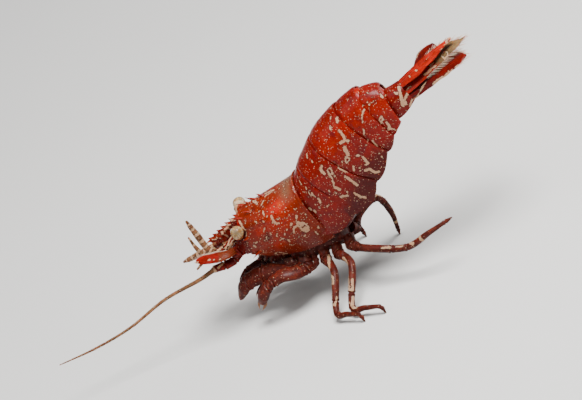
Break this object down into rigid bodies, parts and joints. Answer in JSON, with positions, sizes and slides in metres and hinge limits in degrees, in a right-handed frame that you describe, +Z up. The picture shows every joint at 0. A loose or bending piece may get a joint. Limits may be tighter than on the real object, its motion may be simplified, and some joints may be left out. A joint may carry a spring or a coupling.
{
  "type": "blade shrimp model",
  "caption": "Small red blade shrimp standing on its walking legs, with a toothed blade on its head, stalked eyes, long feelers and a raised, bent abdomen with a spread tail fan.",
  "frame": {"origin": "on the floor, below the middle of the bounding box", "axes": "-X towards the head, -Y the animal's left side, +Z up"},
  "size_m": [0.048, 0.0172, 0.0199],
  "materials": {
    "shell": "glossy, wet",
    "limbs": "satin, translucent",
    "tail_fan": "glossy",
    "eyes": "glossy",
    "feelers": "satin, translucent"
  },
  "bodies": {
    "root": {"abdomen_1": "shell", "abdomen_2": "shell", "abdomen_3": "shell", "abdomen_4": "shell", "abdomen_5": "shell", "abdomen_6": "shell", "antenna_flagellum_left": "feelers", "antenna_flagellum_right": "feelers", "antenna_left": "limbs", "antenna_right": "limbs", "antennal_scale_left": "tail_fan", "antennal_scale_right": "tail_fan", "antennule_left": "limbs", "antennule_right": "limbs", "carapace": "shell", "cheliped_left": "limbs", "cheliped_right": "limbs", "eye_left": "eyes", "eye_right": "eyes", "eyestalk_left": "shell", "eyestalk_right": "shell", "face": "shell", "leg_2_left": "limbs", "leg_2_right": "limbs", "leg_3_left": "limbs", "leg_3_right": "limbs", "leg_4_left": "limbs", "leg_4_right": "limbs", "leg_5_left": "limbs", "leg_5_right": "limbs", "maxilliped_left": "limbs", "maxilliped_right": "limbs", "mouthparts": "limbs", "pleopod_1_left": "limbs", "pleopod_1_right": "limbs", "pleopod_2_left": "limbs", "pleopod_2_right": "limbs", "pleopod_3_left": "limbs", "pleopod_3_right": "limbs", "pleopod_4_left": "limbs", "pleopod_4_right": "limbs", "pleopod_5_left": "limbs", "pleopod_5_right": "limbs", "sternum": "limbs", "telson": "tail_fan", "uropod_left_inner": "tail_fan", "uropod_left_outer": "tail_fan", "uropod_right_inner": "tail_fan", "uropod_right_outer": "tail_fan"}
  },
  "joints": []
}
